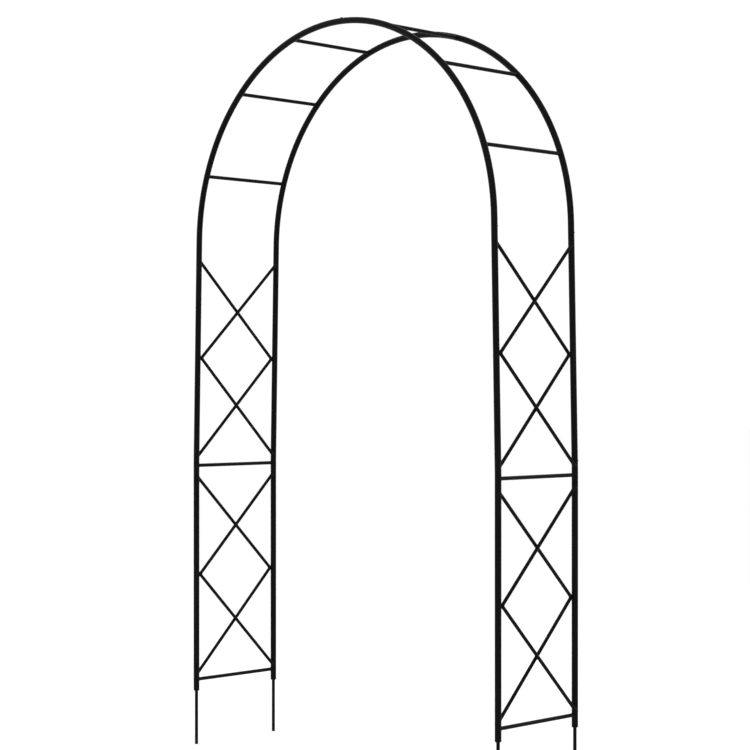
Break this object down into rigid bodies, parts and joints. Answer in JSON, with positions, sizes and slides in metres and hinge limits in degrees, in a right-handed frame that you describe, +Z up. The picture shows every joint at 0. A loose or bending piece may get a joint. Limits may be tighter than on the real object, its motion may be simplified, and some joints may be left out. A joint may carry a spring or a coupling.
{
  "type": "trellis arch",
  "caption": "Walk-through garden arch of round-tube hoops joined by rungs and crossed lattice rods, on ground stakes.",
  "frame": {"origin": "on the ground plane of the stake tips, under the middle of the arch", "axes": "+X across the walkway, to the right as seen from the front; +Y from the front hoop to the back hoop, along the walkway; +Z up"},
  "size_m": [1.402, 0.375, 2.401],
  "materials": {
    "hoop_tube": "satin black powder coat",
    "rung_tube": "satin black powder coat",
    "lattice_rod": "satin black powder coat",
    "foot_plug": "satin black powder coat",
    "ground_stake": "satin black powder coat",
    "screw": "black passivated steel"
  },
  "bodies": {
    "root": {"front_left_lower_leg": "hoop_tube", "front_left_upper_leg": "hoop_tube", "front_left_arch_tube": "hoop_tube", "front_right_lower_leg": "hoop_tube", "front_right_upper_leg": "hoop_tube", "front_right_arch_tube": "hoop_tube", "back_left_lower_leg": "hoop_tube", "back_left_upper_leg": "hoop_tube", "back_left_arch_tube": "hoop_tube", "back_right_lower_leg": "hoop_tube", "back_right_upper_leg": "hoop_tube", "back_right_arch_tube": "hoop_tube", "left_bottom_rung": "rung_tube", "left_middle_rung": "rung_tube", "left_arch_rung_low": "rung_tube", "left_arch_rung_middle": "rung_tube", "left_arch_rung_high": "rung_tube", "right_bottom_rung": "rung_tube", "right_middle_rung": "rung_tube", "right_arch_rung_low": "rung_tube", "right_arch_rung_middle": "rung_tube", "right_arch_rung_high": "rung_tube", "left_lower_lattice_rod_outer": "lattice_rod", "left_lower_lattice_rod_inner": "lattice_rod", "left_upper_lattice_rod_outer": "lattice_rod", "left_upper_lattice_rod_inner": "lattice_rod", "right_lower_lattice_rod_outer": "lattice_rod", "right_lower_lattice_rod_inner": "lattice_rod", "right_upper_lattice_rod_outer": "lattice_rod", "right_upper_lattice_rod_inner": "lattice_rod", "front_left_foot_plug": "foot_plug", "front_right_foot_plug": "foot_plug", "back_left_foot_plug": "foot_plug", "back_right_foot_plug": "foot_plug", "front_left_ground_stake": "ground_stake", "front_right_ground_stake": "ground_stake", "back_left_ground_stake": "ground_stake", "back_right_ground_stake": "ground_stake", "joint_screws": "screw"}
  },
  "joints": []
}
